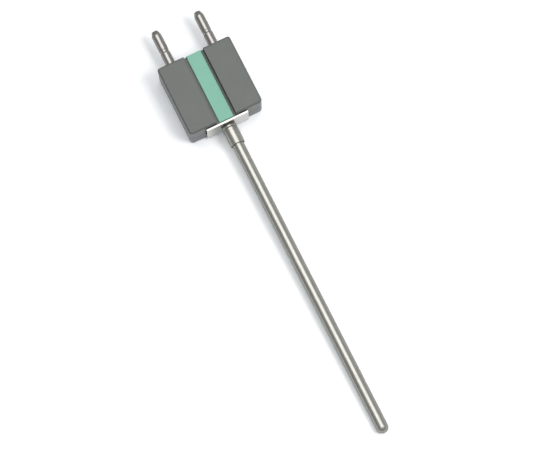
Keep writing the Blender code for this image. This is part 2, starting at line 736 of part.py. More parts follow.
def build():
    clear_scene()
    bench = Bench()
    slots = {name: new_material(name, *looks) for name, looks in FINISHES.items()}
    openings = shared_openings(bench)
    front_cover(bench, slots["front_plastic"], openings)
    rear_cover(bench, slots["rear_plastic"], openings)
    colour_stripe(bench, slots["stripe_plastic"])
    for side, sign in SIDES:
        pin(bench, side, sign, slots["pin_nickel"])
        terminal_block(bench, side, sign, slots["terminal_brass"])
        clamp_washer(bench, side, sign, slots["screw_zinc"])
        terminal_screw(bench, side, sign, slots["screw_zinc"])
        thermoelement(bench, side, sign, slots["wire_alloy"])
    end_plate(bench, slots["plate_steel"])
    ferrule(bench, slots["sheath_steel"])
    sheath(bench, slots["sheath_steel"])
    bored_rod(bench, "mineral_core", CORE_START, CORE_END, slots["core_ceramic"])
    bored_rod(bench, "seal_plug", SEAL_START, SEAL_END, slots["seal_resin"])
    measuring_junction(bench, slots["wire_alloy"])
    for place, x, y in SCREWS:
        cover_screw(bench, place, x, y, slots["screw_zinc"])


build()
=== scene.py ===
"""Looks of a thermocouple probe with a twin-pin plug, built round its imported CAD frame.

Laid out as a Blender add-on and run as a script. New pieces are numpy surfaces in the probe's own
axes, which are read from the frame: X runs along the sheath to the tip, Y across the pins, Z up out
of the front cover, and the origin lies on the sheath's axis at the probe end of the plug body.
Lengths are in metres.
"""

import json
import math

import bmesh
import bpy
import numpy as np
from bpy.props import FloatProperty, FloatVectorProperty, PointerProperty
from mathutils import Matrix, Vector


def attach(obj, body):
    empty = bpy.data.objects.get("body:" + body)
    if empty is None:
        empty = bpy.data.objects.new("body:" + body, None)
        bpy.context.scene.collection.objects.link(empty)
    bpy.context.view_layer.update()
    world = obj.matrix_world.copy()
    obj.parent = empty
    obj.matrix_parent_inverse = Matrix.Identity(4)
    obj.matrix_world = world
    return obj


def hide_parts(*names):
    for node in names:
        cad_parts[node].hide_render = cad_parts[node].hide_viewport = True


bl_info = {
    "name": "Thermocouple probe",
    "version": (1, 0, 0),
    "blender": (4, 5, 0),
    "location": "View3D > Sidebar > Probe",
    "description": "Builds the visible pieces, finishes and studio of a twin-pin thermocouple probe",
    "category": "Object",
}

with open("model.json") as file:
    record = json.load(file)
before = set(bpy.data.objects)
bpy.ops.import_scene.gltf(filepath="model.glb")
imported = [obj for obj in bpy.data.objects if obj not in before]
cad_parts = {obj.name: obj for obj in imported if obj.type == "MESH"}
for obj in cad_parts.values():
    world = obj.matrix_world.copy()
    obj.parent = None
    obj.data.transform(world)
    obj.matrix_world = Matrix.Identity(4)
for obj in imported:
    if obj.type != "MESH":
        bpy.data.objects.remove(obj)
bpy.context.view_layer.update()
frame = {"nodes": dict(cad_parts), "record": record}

MM = 0.001
SIDES = (("positive", 1.0), ("negative", -1.0))
SCREW_PLACES = ("middle", "left", "right")

# Fineness of the surfaces
TURN_POINTS = 96                   # round a turned piece
ARC_POINTS = 9                     # along a rounded edge of body and plate
EDGE_POINTS = 7                    # along any other rounded edge
BEAD_POINTS = 17                   # over the ferrule's bead
TIP_POINTS = 25                    # from the sheath's side to its tip
SMOOTH_ANGLE = math.radians(32)    # a sharper edge than this is shaded as an edge
SHADING_WEIGHT = 100               # large faces decide the shading next to them
MERGE_DISTANCE = MM / 10000

# Room round what goes into a bore, a slot or a counterbore, as in the CAD. The closed covers and
# the ferrule have closer gaps of their own here, so that no light shows through them.
GAP = 0.3 * MM
REACH = 1.0 * MM                   # how far a cutter stands out of what it cuts
LEDGE = 0.001 * MM                 # how far the groove's cutter stands above the face it cuts
TINY = 0.001 * MM                  # keeps a side of no length from being divided by nothing
NEARLY_ONE = 0.999999              # keeps a straight corner's angle inside the arc cosine's range

# What the finishes share
NOISE_SPAN = {"From Min": 0.3, "From Max": 0.7}    # where nearly all values of a noise lie
FLOW_SIZE = 7 * MM                 # clouds that a melt's flow leaves in a moulded colour
PIT_TONE = 0.03                    # how far a pit is lighter or darker than what is round it
PIT_DULLNESS = 0.05                # how far a pit's roughness departs from what is round it
STAIN_SIZE = 1.5 * MM              # faint stains of handled metal
LINE_DULLNESS = 0.2                # share by which the roughness changes from line to line
PLASTIC_IOR = 1.5
RIM_TINT = "#737373"               # dull metals mirror less at a grazing angle than clean ones do


def mount_axis(name):
    return np.array(next(m["axis"] for m in frame["record"]["mounts"] if m["name"] == name))


ALONG = -mount_axis("socket_face")
UP = -mount_axis("rear_face")
AXES = np.array([ALONG, np.cross(UP, ALONG), UP])


def turned_box(node, origin):
    """Lowest and highest corner of a CAD node in the probe's axes: its points dotted with each."""
    mesh = frame["nodes"][node].data
    flat = np.empty(len(mesh.vertices) * 3, np.float32)
    mesh.vertices.foreach_get("co", flat)
    points = flat.reshape(-1, 3) @ AXES.T - origin
    return points.min(0), points.max(0)


def find_origin():
    """The body's probe end gives x, and the middle of the sheath's section gives y and z."""
    low, high = turned_box("sheath", np.zeros(3))
    origin = (low + high) / 2
    origin[0] = turned_box("front_cover", np.zeros(3))[1][0]
    return origin


ORIGIN = find_origin()
LEAN = math.atan2(UP[0], UP[2])
FRAME_PLACE = tuple(ORIGIN @ AXES)

FRONT_LOW, FRONT_HIGH = turned_box("front_cover", ORIGIN)
REAR_LOW = turned_box("rear_cover", ORIGIN)[0]
STRIPE_LOW, STRIPE_HIGH = turned_box("colour_stripe", ORIGIN)
PLATE_LOW, PLATE_HIGH = turned_box("end_plate", ORIGIN)
SHEATH_LOW, SHEATH_HIGH = turned_box("sheath", ORIGIN)
FERRULE_LOW, FERRULE_HIGH = turned_box("ferrule", ORIGIN)
PIN_LOW, PIN_HIGH = turned_box("pin_positive", ORIGIN)
PIN_Y = (PIN_LOW[1] + PIN_HIGH[1]) / 2
PIN_FACE = FRONT_LOW[0]
HALF_WIDTH = FRONT_HIGH[1]


def srgb(code):
    """Linear colour of an sRGB hex value: divided by 12.92 near black, a power of 2.4 above."""
    parts = np.array([int(code[k:k + 2], 16) for k in (1, 3, 5)]) / 255
    curve = ((parts + 0.055) / 1.055) ** 2.4
    return tuple(float(v) for v in np.where(parts <= 0.04045, parts / 12.92, curve))


def length(name, description, value):
    return FloatProperty(
        name=name, description=description, default=value, min=0.0,
        subtype='DISTANCE', unit='LENGTH',
    )


def share(name, description, value):
    return FloatProperty(name=name, description=description, default=value, min=0.0, max=1.0)


def colour(name, description, code):
    return FloatVectorProperty(
        name=name, description=description, default=srgb(code), min=0.0, max=1.0,
        subtype='COLOR', size=3,
    )


class ProbeBody(bpy.types.PropertyGroup):
    """Sizes and colours of the moulded plug body."""

    probe_corner: length(
        "Probe end corner", "Radius of the body's upright corners at the probe end", 1.6 * MM)
    pin_corner: length(
        "Pin end corner", "Radius of the body's upright corners at the pin end", 1.0 * MM)
    front_edge: length("Front edge", "Rounding round the front face", 0.8 * MM)
    rear_edge: length("Rear edge", "Rounding round the rear face", 0.9 * MM)
    parting_edge: length("Parting edge", "Rounding where the two covers meet", 0.15 * MM)
    parting_gap: length("Parting gap", "Room between the two closed covers", 0.02 * MM)
    groove_edge: length("Groove edge", "Rounding along the groove's two edges", 0.25 * MM)
    groove_margin: length("Groove margin", "Room beside the colour stripe", 1.2 * MM)
    wall: length("Side wall", "Thickness of the side walls", 1.8 * MM)
    pin_wall: length("Pin wall", "Thickness of the wall that the pins stand out of", 2.2 * MM)
    probe_wall: length("Probe wall", "Thickness of the wall behind the end plate", 2.0 * MM)
    groove_skin: length("Groove skin", "Thickness of the groove's floor", 1.2 * MM)
    skin: length("Skin", "Thickness of the front and rear faces", 1.5 * MM)
    boss_wall: length("Boss wall", "Thickness of the wall round a screw's counterbore", 0.8 * MM)
    screw_diameter: length("Screw diameter", "Diameter of a cover screw's shank", 2.2 * MM)
    screw_head: length("Screw head", "Height of a cover screw's head", 1.2 * MM)
    screw_edge: length("Screw edge", "Rounding of a cover screw's edges", 0.15 * MM)
    slot_width: length("Slot width", "Width of the slot in a screw's head", 0.6 * MM)
    slot_depth: length("Slot depth", "Depth of the slot in a screw's head", 0.4 * MM)
    grain: length("Moulded grain", "Size of the mould's texture", 0.3 * MM)
    front_colour: colour("Front colour", "Colour of the front cover", "#5C605C")
    rear_colour: colour("Rear colour", "Colour of the rear cover", "#666B6F")
    stripe_colour: colour("Stripe colour", "Colour of the stripe in the groove", "#78B39C")
    stripe_edge: length("Stripe edge", "Rounding along the stripe", 0.12 * MM)


class ProbePins(bpy.types.PropertyGroup):
    """Sizes and colour of the two turned pins."""

    diameter: length("Diameter", "Diameter of the shank", 4.0 * MM)
    nose_diameter: length("Nose diameter", "Diameter of the blunt end", 2.6 * MM)
    nose_length: length("Nose length", "Length of the taper", 2.0 * MM)
    nose_shoulder: length("Nose shoulder", "Rounding where the taper meets the shank", 0.3 * MM)
    nose_edge: length("Nose edge", "Rounding at the blunt end", 0.12 * MM)
    ring_place: length("Ring place", "From the blunt end to the ring", 8.6 * MM)
    ring_width: length("Ring width", "Width of the turned ring", 1.8 * MM)
    ring_depth: length("Ring depth", "Depth of the turned ring", 0.18 * MM)
    ring_slope: length("Ring slope", "Length of the slope at each side of the ring", 0.5 * MM)
    turned_edge: length("Turned edge", "Rounding of the other turned edges", 0.15 * MM)
    collar_length: length("Collar length", "Length of the collar in the body", 1.6 * MM)
    tail_diameter: length("Tail diameter", "Diameter of the tail in its terminal", 2.4 * MM)
    metal: colour("Metal", "Colour of the nickel plate", "#9F9C97")


class ProbeStem(bpy.types.PropertyGroup):
    """Sizes and colours of the end plate, the ferrule and the sheath."""

    sheath_wall: length("Sheath wall", "Wall of the sheath", 0.5 * MM)
    bead_length: length("Bead length", "Length of the ferrule's bead", 1.2 * MM)
    bead_depth: length("Bead depth", "Height of the bead over its neck", 0.35 * MM)
    bead_gap: length("Bead gap", "Room between the plate and the ferrule's bead", 0.05 * MM)
    ferrule_gap: length("Ferrule gap", "Room between the ferrule and the sheath", 0.04 * MM)
    ferrule_edge: length("Ferrule edge", "Rounding at the ferrule's end", 0.15 * MM)
    plate_thickness: length("Plate thickness", "Thickness of the folded plate", 0.9 * MM)
    plate_height: length("Plate height", "Height of the plate across the body", 10.2 * MM)
    plate_edge: length("Plate edge", "Rounding of the plate's sheared edges", 0.12 * MM)
    leg_height: length("Leg height", "Height of a leg where it enters the body", 4.0 * MM)
    hook_length: length("Hook length", "Length of the hook behind the probe wall", 1.6 * MM)
    hook_height: length("Hook height", "Height of the hook behind the probe wall", 6.0 * MM)
    draw_line: length(
        "Draw line", "Spacing of the lines that drawing leaves along the sheath", 0.22 * MM)
    sheath_metal: colour("Sheath metal", "Colour of the drawn steel", "#B0AEA7")
    plate_metal: colour("Plate metal", "Colour of the rolled steel", "#BFBDB8")


class ProbeStudio(bpy.types.PropertyGroup):
    """Light, floor and camera."""

    floor_colour: colour("Floor", "Colour of the table", "#F5F5F5")
    floor_lift: share(
        "Floor lift", "Light that the camera sees on the floor beside what falls on it", 0.17)
    ceiling_power: FloatProperty(
        name="Ceiling", description="Power of the soft box overhead", default=8.8, unit='POWER',
    )
    window_power: FloatProperty(
        name="Window", description="Power of the soft box at the side", default=11.5, unit='POWER',
    )
    room_share: share(
        "Room share", "How much of the room's brightness lights dull surfaces", 0.40)
    lens: FloatProperty(
        name="Lens", description="Focal length on a 36 mm sensor", default=113.33, min=1.0,
    )


def to_world(points):
    """Probe axes to world axes: the origin is added, and each coordinate goes along its axis."""
    return (points + ORIGIN) @ AXES


def make_mesh(name, points, faces):
    """A closed mesh in world axes. Merging points that coincide closes its seams and poles."""
    mesh = bpy.data.meshes.new(name)
    mesh.from_pydata(to_world(points), [], faces)
    work = bmesh.new()
    work.from_mesh(mesh)
    bmesh.ops.remove_doubles(work, verts=work.verts, dist=MERGE_DISTANCE)
    bmesh.ops.recalc_face_normals(work, faces=work.faces)
    work.to_mesh(mesh)
    work.free()
    return mesh


def new_piece(name, mesh):
    piece = bpy.data.objects.new(name, mesh)
    bpy.context.scene.collection.objects.link(piece)
    return piece


def grid_faces(rows, columns, wrap_rows=False):
    """Quads between neighbours of a grid that closes along its columns, and its rows if asked."""
    row = np.arange(rows if wrap_rows else rows - 1)[:, None]
    column = np.arange(columns)[None, :]
    here, below = row * columns, (row + 1) % rows * columns
    beside = (column + 1) % columns
    corners = (here + column, here + beside, below + beside, below + column)
    return np.stack(np.broadcast_arrays(*corners), -1).reshape(-1, 4).tolist()


def round_corners(corners, radii, steps=EDGE_POINTS):
    """Replace each corner of a polygon by an arc, and give the points and their outward normals.

    The arc's centre lies on the corner's bisector, radius / sin(half the corner's angle) from it.
    The directions from the centre turn evenly from one side's normal to the other's.
    """
    corners = np.asarray(corners, float)
    radii = np.broadcast_to(np.asarray(radii, float), len(corners))
    back = np.roll(corners, 1, 0) - corners
    ahead = np.roll(corners, -1, 0) - corners
    back /= np.maximum(np.linalg.norm(back, axis=1), TINY)[:, None]
    ahead /= np.maximum(np.linalg.norm(ahead, axis=1), TINY)[:, None]
    half = np.arccos(np.clip((back * ahead).sum(1), -NEARLY_ONE, NEARLY_ONE)) / 2
    bisector = back + ahead
    bisector /= np.maximum(np.linalg.norm(bisector, axis=1), TINY)[:, None]
    centres = corners + bisector * (radii / np.sin(half))[:, None]
    first = ((back * np.cos(half)[:, None] - bisector) / np.sin(half)[:, None])[:, None]
    last = ((ahead * np.cos(half)[:, None] - bisector) / np.sin(half)[:, None])[:, None]
    sweep = (math.pi - 2 * half)[:, None, None]
    part = np.linspace(0, 1, steps)[None, :, None]
    turned = np.sin((1 - part) * sweep) * first + np.sin(part * sweep) * last
    normals = turned / np.sin(sweep)
    points = centres[:, None] + normals * radii[:, None, None]
    return points.reshape(-1, 2), normals.reshape(-1, 2)


def edge_profile(bottom, top, bottom_edge, top_edge, steps=EDGE_POINTS):
    """Inset and height up a block's side: a quarter circle at each end, a straight wall between."""
    turn = np.linspace(0, math.pi / 2, steps)
    inset = np.concatenate([bottom_edge * (1 - np.sin(turn)), top_edge * (1 - np.cos(turn))])
    height = np.concatenate([
        bottom + bottom_edge * (1 - np.cos(turn)), top - top_edge * (1 - np.sin(turn)),
    ])
    return inset, height


def block(name, outline, radii, span, edges=(0.0, 0.0), order=(0, 1, 2), steps=EDGE_POINTS):
    """A rounded outline carried along a straight path, drawn in by a quarter circle at both ends.

    Point (s, t) is the outline's point s, moved in along its normal by the inset at t, at the
    height at t. Order says which two of the probe's axes the outline lies in, and then which axis
    the path follows.
    """
    line, normals = round_corners(outline, radii, steps)
    inset, height = edge_profile(span[0], span[1], edges[0], edges[1], steps)
    flat = line[None] - inset[:, None, None] * normals[None]
    height = np.broadcast_to(height[:, None, None], (*flat.shape[:2], 1))
    grid = np.concatenate([flat, height], 2)
    rows, columns = grid.shape[:2]
    points = np.empty((rows * columns, 3))
    points[:, order] = grid.reshape(-1, 3)
    faces = grid_faces(rows, columns)
    faces += [list(range(columns)), list(range((rows - 1) * columns, rows * columns))]
    return new_piece(name, make_mesh(name, points, faces))


def box(name, low, high, radius=0.0):
    """An upright block between two corners, with its four upright corners rounded."""
    outline = [(high[0], high[1]), (low[0], high[1]), (low[0], low[1]), (high[0], low[1])]
    return block(name, outline, radius, (low[2], high[2]))


def turning(name, profile, radii=0.0, centre=(0.0, 0.0), axis=0, closed=False):
    """A profile of (distance along, radius) points turned about one of the probe's axes.

    Point (s, t) lies at the profile's distance s, and across from the axis at its radius times the
    cosine and sine of t.
    """
    line = round_corners(profile, radii)[0]
    turn = np.linspace(0, math.tau, TURN_POINTS, endpoint=False)
    ring = np.stack([np.cos(turn), np.sin(turn)], -1)
    across = line[:, 1, None, None] * ring[None] + np.asarray(centre)
    distance = np.broadcast_to(line[:, 0, None, None], (*across.shape[:2], 1))
    grid = np.concatenate([distance, across], 2)
    points = np.roll(grid.reshape(-1, 3), axis, axis=1)
    return new_piece(name, make_mesh(name, points, grid_faces(len(line), TURN_POINTS, closed)))


def rod(name, radius, start, end, centre=(0.0, 0.0), axis=0):
    """A plain cylinder, which is a flat end, a wall and a flat end turned about an axis."""
    profile = [(start, 0.0), (start, radius), (end, radius), (end, 0.0)]
    return turning(name, profile, centre=centre, axis=axis)


def combine(piece, operation, tools):
    """Cut or join the tools one after another, keep the result as the mesh, remove the tools."""
    for tool in tools:
        step = piece.modifiers.new(tool.name, 'BOOLEAN')
        step.operation = operation
        step.object = tool
        step.solver = 'EXACT'
    graph = bpy.context.evaluated_depsgraph_get()
    before = piece.data
    piece.data = bpy.data.meshes.new_from_object(piece.evaluated_get(graph))
    piece.data.name = piece.name
    piece.modifiers.clear()
    bpy.data.meshes.remove(before)
    for tool in tools:
        bpy.data.meshes.remove(tool.data)
    return piece


def cut(piece, *tools):
    return combine(piece, 'DIFFERENCE', tools)


def join(piece, *tools):
    return combine(piece, 'UNION', tools)


def finish(piece, material, node):
    """Shade, dress and attach a piece that stands for a CAD node, and hide that node."""
    piece.data.shade_smooth()
    piece.data.set_sharp_from_angle(angle=SMOOTH_ANGLE)
    even = piece.modifiers.new("even_shading", 'WEIGHTED_NORMAL')
    even.keep_sharp = True
    even.weight = SHADING_WEIGHT
    piece.data.materials.clear()
    piece.data.materials.append(material)
    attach(piece, "root")
    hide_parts(node)
    return piece


def add(tree, kind, inputs=None, **settings):
    """Add a node. Inputs maps a socket's name or number to a value or to the output it takes."""
    node = tree.nodes.new(kind)
    for name, value in settings.items():
        setattr(node, name, value)
    for name, value in (inputs or {}).items():
        if isinstance(value, bpy.types.NodeSocket):
            tree.links.new(value, node.inputs[name])
        else:
            node.inputs[name].default_value = value
    return node


def new_material(name):
    """An empty material, its tree, and coordinates in the probe's axes."""
    material = bpy.data.materials.new(name)
    material.use_nodes = True
    tree = material.node_tree
    tree.nodes.clear()
    place = add(tree, 'ShaderNodeTexCoord')
    local = add(tree, 'ShaderNodeMapping', {
        "Vector": place.outputs["Object"], "Location": FRAME_PLACE, "Rotation": (0.0, LEAN, 0.0),
    }, vector_type='TEXTURE')
    return material, tree, local.outputs["Vector"]


def moulded(name, paint, roughness, grain, cloud=0.05, relief=0.012 * MM):
    """A moulded plastic: colour clouded by the melt's flow, and the fine pits of an eroded mould."""
    material, tree, place = new_material(name)
    flow = add(tree, 'ShaderNodeTexNoise', {
        "Vector": place, "Scale": 1 / FLOW_SIZE, "Detail": 4.0,
    })
    pits = add(tree, 'ShaderNodeTexNoise', {
        "Vector": place, "Scale": 1 / grain, "Detail": 3.0, "Roughness": 0.6,
    })
    tone = add(tree, 'ShaderNodeMapRange', {
        "Value": flow.outputs[0], **NOISE_SPAN, "To Min": 1 - cloud, "To Max": 1 + cloud,
    })
    speck = add(tree, 'ShaderNodeMapRange', {
        "Value": pits.outputs[0], **NOISE_SPAN, "To Min": 1 - PIT_TONE, "To Max": 1 + PIT_TONE,
    })
    both = add(tree, 'ShaderNodeMath', {
        0: tone.outputs[0], 1: speck.outputs[0],
    }, operation='MULTIPLY')
    tint = add(tree, 'ShaderNodeVectorMath', {
        0: paint, "Scale": both.outputs[0],
    }, operation='SCALE')
    dull = add(tree, 'ShaderNodeMapRange', {
        "Value": pits.outputs[0], **NOISE_SPAN,
        "To Min": roughness - PIT_DULLNESS, "To Max": roughness + PIT_DULLNESS,
    })
    bump = add(tree, 'ShaderNodeBump', {
        "Height": pits.outputs[0], "Strength": 0.6, "Distance": relief,
    })
    shader = add(tree, 'ShaderNodeBsdfPrincipled', {
        "Base Color": tint.outputs[0], "Roughness": dull.outputs[0], "Normal": bump.outputs[0],
        "IOR": PLASTIC_IOR,
    })
    add(tree, 'ShaderNodeOutputMaterial', {"Surface": shader.outputs[0]})
    return material


def lined_metal(
        name, paint, roughness, spacing, stretch, contrast, spots,
        relief=0.002 * MM, rim=(1.0, 1.0, 1.0),
):
    """A metal with tool lines: noise drawn out along the tool's travel, in colour, gloss and relief.

    Stretch says how many times longer than wide the lines are along each of the probe's axes, and
    contrast how dark they get. Faint stains lie over them, as dark as spots says. Rim is the tint
    of what the metal mirrors at a grazing angle.
    """
    material, tree, place = new_material(name)
    drawn = add(tree, 'ShaderNodeVectorMath', {0: place, 1: stretch}, operation='DIVIDE')
    lines = add(tree, 'ShaderNodeTexNoise', {
        "Vector": drawn.outputs[0], "Scale": 1 / spacing, "Detail": 3.0,
    })
    stains = add(tree, 'ShaderNodeTexNoise', {
        "Vector": place, "Scale": 1 / STAIN_SIZE, "Detail": 4.0,
    })
    ridge = add(tree, 'ShaderNodeMapRange', {
        "Value": lines.outputs[0], **NOISE_SPAN, "To Min": 1 - contrast, "To Max": 1.0,
    })
    stain = add(tree, 'ShaderNodeMapRange', {
        "Value": stains.outputs[0], **NOISE_SPAN, "To Min": 1 - spots, "To Max": 1.0,
    })
    both = add(tree, 'ShaderNodeMath', {
        0: ridge.outputs[0], 1: stain.outputs[0],
    }, operation='MULTIPLY')
    tint = add(tree, 'ShaderNodeVectorMath', {
        0: paint, "Scale": both.outputs[0],
    }, operation='SCALE')
    dull = add(tree, 'ShaderNodeMapRange', {
        "Value": lines.outputs[0], **NOISE_SPAN,
        "To Min": roughness * (1 - LINE_DULLNESS), "To Max": roughness * (1 + LINE_DULLNESS),
    })
    bump = add(tree, 'ShaderNodeBump', {
        "Height": lines.outputs[0], "Strength": 0.5, "Distance": relief,
    })
    shader = add(tree, 'ShaderNodeBsdfPrincipled', {
        "Base Color": tint.outputs[0], "Metallic": 1.0, "Roughness": dull.outputs[0],
        "Normal": bump.outputs[0], "Specular Tint": (*rim, 1.0),
    })
    add(tree, 'ShaderNodeOutputMaterial', {"Surface": shader.outputs[0]})
    return material


def drawn_steel(settings):
    """Cold-drawn stainless tube: fine lines along the tube, bright between them.

    Shared by the sheath and the ferrule.
    """
    return bpy.data.materials.get("drawn_stainless_steel") or lined_metal(
        "drawn_stainless_steel", settings.sheath_metal, roughness=0.28,
        spacing=settings.draw_line, stretch=(60.0, 1.0, 1.0), contrast=0.10, spots=0.10,
        rim=srgb(RIM_TINT),
    )


def zinc_plate():
    """Zinc-plated steel: bluish, with the plating's soft spangle.

    Shared by the cover screws, terminal screws and washers.
    """
    return bpy.data.materials.get("zinc_plated_steel") or lined_metal(
        "zinc_plated_steel", srgb("#C3C6C9"), roughness=0.3,
        spacing=0.4 * MM, stretch=(1.0, 1.0, 1.0), contrast=0.12, spots=0.10,
    )


def plan(settings):
    """Outline of the body from the front, probe end first, with the radii of its corners."""
    outline = [
        (0.0, HALF_WIDTH), (PIN_FACE, HALF_WIDTH), (PIN_FACE, -HALF_WIDTH), (0.0, -HALF_WIDTH),
    ]
    probe, pin = settings.probe_corner, settings.pin_corner
    return outline, (probe, pin, pin, probe)


def body_openings(body, pins, stem):
    """Cutters that both covers share: the bores of sheath and pins, the slots of the legs."""
    inside = -body.probe_wall - REACH
    tools = [rod("sheath_bore", SHEATH_HIGH[1] + GAP, inside, REACH)]
    leg = stem.plate_thickness / 2 + GAP
    tall = stem.leg_height / 2 + GAP
    for side, sign in SIDES:
        y = sign * (PLATE_HIGH[1] - stem.plate_thickness / 2)
        tools.append(box("leg_slot_" + side, (inside, y - leg, -tall), (REACH, y + leg, tall)))
        tools.append(rod(
            "pin_bore_" + side, pins.diameter / 2 + GAP,
            PIN_FACE - REACH, PIN_FACE + body.pin_wall + REACH, (sign * PIN_Y, 0.0),
        ))
    return tools


class PROBE_OT_front_cover(bpy.types.Operator):
    """Build the front cover, with its groove for the colour stripe"""

    bl_idname = "probe.front_cover"
    bl_label = "Front cover"

    def execute(self, context):
        body = context.scene.probe_body
        outline, radii = plan(body)
        top = FRONT_HIGH[2]
        cover = block(
            "front_shell", outline, radii, (body.parting_gap / 2, top),
            (body.parting_edge, body.front_edge), steps=ARC_POINTS,
        )
        groove = STRIPE_HIGH[1] + body.groove_margin
        floor = STRIPE_LOW[2] - GAP
        inner = groove + body.skin
        side = HALF_WIDTH - body.wall
        start, end = PIN_FACE + body.pin_wall, -body.probe_wall
        cut(
            cover,
            box("middle_hollow", (start, -side, -REACH), (end, side, floor - body.groove_skin)),
            box("left_hollow", (start, -side, -REACH), (end, -inner, top - body.skin)),
            box("right_hollow", (start, inner, -REACH), (end, side, top - body.skin)),
        )
        # The cutter widens above the front face, so the arcs at its neck round the groove's edges
        edge = body.groove_edge
        flare = groove + 2 * edge
        section = [
            (flare, top + REACH), (-flare, top + REACH),
            (-flare, top + LEDGE), (-groove, top + LEDGE),
            (-groove, floor), (groove, floor),
            (groove, top + LEDGE), (flare, top + LEDGE),
        ]
        rounding = (0.0, 0.0, 0.0, edge, edge, edge, edge, 0.0)
        cut(cover, block(
            "stripe_groove", section, rounding, (PIN_FACE - REACH, REACH), order=(1, 2, 0),
        ))
        cut(cover, *body_openings(body, context.scene.probe_pins, context.scene.probe_stem))
        # Glass-filled nylon, moulded in a fine-eroded tool: dark grey, evenly dull, and a little
        # cloudy from the flow
        material = moulded("glass_filled_nylon_grey", body.front_colour, 0.36, body.grain)
        finish(cover, material, "front_cover")
        return {'FINISHED'}


class PROBE_OT_rear_cover(bpy.types.Operator):
    """Build the rear cover, with the counterbores of its three screws"""

    bl_idname = "probe.rear_cover"
    bl_label = "Rear cover"

    def execute(self, context):
        body = context.scene.probe_body
        outline, radii = plan(body)
        bottom = REAR_LOW[2]
        cover = block(
            "rear_shell", outline, radii, (bottom, -body.parting_gap / 2),
            (body.rear_edge, body.parting_edge), steps=ARC_POINTS,
        )
        side = HALF_WIDTH - body.wall
        hollow = box(
            "rear_hollow", (PIN_FACE + body.pin_wall, -side, bottom + body.skin),
            (-body.probe_wall, side, REACH),
        )
        hole = body.screw_diameter / 2 + GAP
        tools = []
        bosses = []
        for place in SCREW_PLACES:
            low, high = turned_box("cover_screw_" + place, ORIGIN)
            centre = (low[:2] + high[:2]) / 2
            radius = (high[0] - low[0]) / 2 + GAP
            floor = low[2] + body.screw_head + GAP
            bosses.append(rod(
                "boss_" + place, radius + body.boss_wall, bottom, -GAP, centre, axis=2))
            tools.append(rod(
                "counterbore_" + place, radius, bottom - REACH, floor, centre, axis=2))
            tools.append(rod("screw_hole_" + place, hole, bottom - REACH, REACH, centre, axis=2))
        cut(hollow, *bosses)
        cut(cover, hollow)
        cut(cover, *tools)
        cut(cover, *body_openings(body, context.scene.probe_pins, context.scene.probe_stem))
        # The same glass-filled nylon, coloured a little lighter and bluer than the front cover
        material = moulded("glass_filled_nylon_rear", body.rear_colour, 0.40, body.grain)
        finish(cover, material, "rear_cover")
        return {'FINISHED'}


class PROBE_OT_colour_stripe(bpy.types.Operator):
    """Build the colour stripe that lies in the groove"""

    bl_idname = "probe.colour_stripe"
    bl_label = "Colour stripe"

    def execute(self, context):
        body = context.scene.probe_body
        (x0, y0, z0), (x1, y1, z1) = STRIPE_LOW, STRIPE_HIGH
        edge = body.stripe_edge
        stripe = block(
            "stripe_strip", [(y1, z1), (y0, z1), (y0, z0), (y1, z0)], edge,
            (x0, x1), (edge / 2, edge / 2), order=(1, 2, 0),
        )
        # Unfilled ABS, moulded as a flat strip: pale green, satin, with a slight cloud
        material = moulded(
            "moulded_abs_green", body.stripe_colour, 0.38, body.grain,
            cloud=0.03, relief=0.006 * MM,
        )
        finish(stripe, material, "colour_stripe")
        return {'FINISHED'}


class PROBE_OT_pins(bpy.types.Operator):
    """Turn the two pins"""

    bl_idname = "probe.pins"
    bl_label = "Pins"

    def execute(self, context):
        pins = context.scene.probe_pins
        nose = PIN_LOW[0]
        ring = nose + pins.ring_place
        ring_end = ring + pins.ring_width
        radius = pins.diameter / 2
        waist = radius - pins.ring_depth
        collar = PIN_FACE + context.scene.probe_body.pin_wall + GAP
        collar_end = collar + pins.collar_length
        tail = pins.tail_diameter / 2
        turned = pins.turned_edge
        # Each corner of the profile, from the tail to the nose, with its rounding
        corners, radii = zip(
            ((PIN_HIGH[0], 0.0), 0.0),
            ((PIN_HIGH[0], tail), turned),
            ((collar_end, tail), turned),
            ((collar_end, PIN_HIGH[2]), turned),
            ((collar, PIN_HIGH[2]), turned),
            ((collar, radius), turned),
            ((ring_end, radius), turned),
            ((ring_end - pins.ring_slope, waist), turned),
            ((ring + pins.ring_slope, waist), turned),
            ((ring, radius), turned),
            ((nose + pins.nose_length, radius), pins.nose_shoulder),
            ((nose, pins.nose_diameter / 2), pins.nose_edge),
            ((nose, 0.0), 0.0),
        )
        # Nickel-plated brass, turned and then plated: warm silver, bright, with faint rings
        material = lined_metal(
            "nickel_plated_brass", pins.metal, roughness=0.2,
            spacing=0.12 * MM, stretch=(1.0, 40.0, 40.0), contrast=0.06, spots=0.04,
            rim=srgb(RIM_TINT),
        )
        for side, sign in SIDES:
            pin = turning("turned_pin_" + side, corners, radii, (sign * PIN_Y, 0.0))
            finish(pin, material, "pin_" + side)
        return {'FINISHED'}


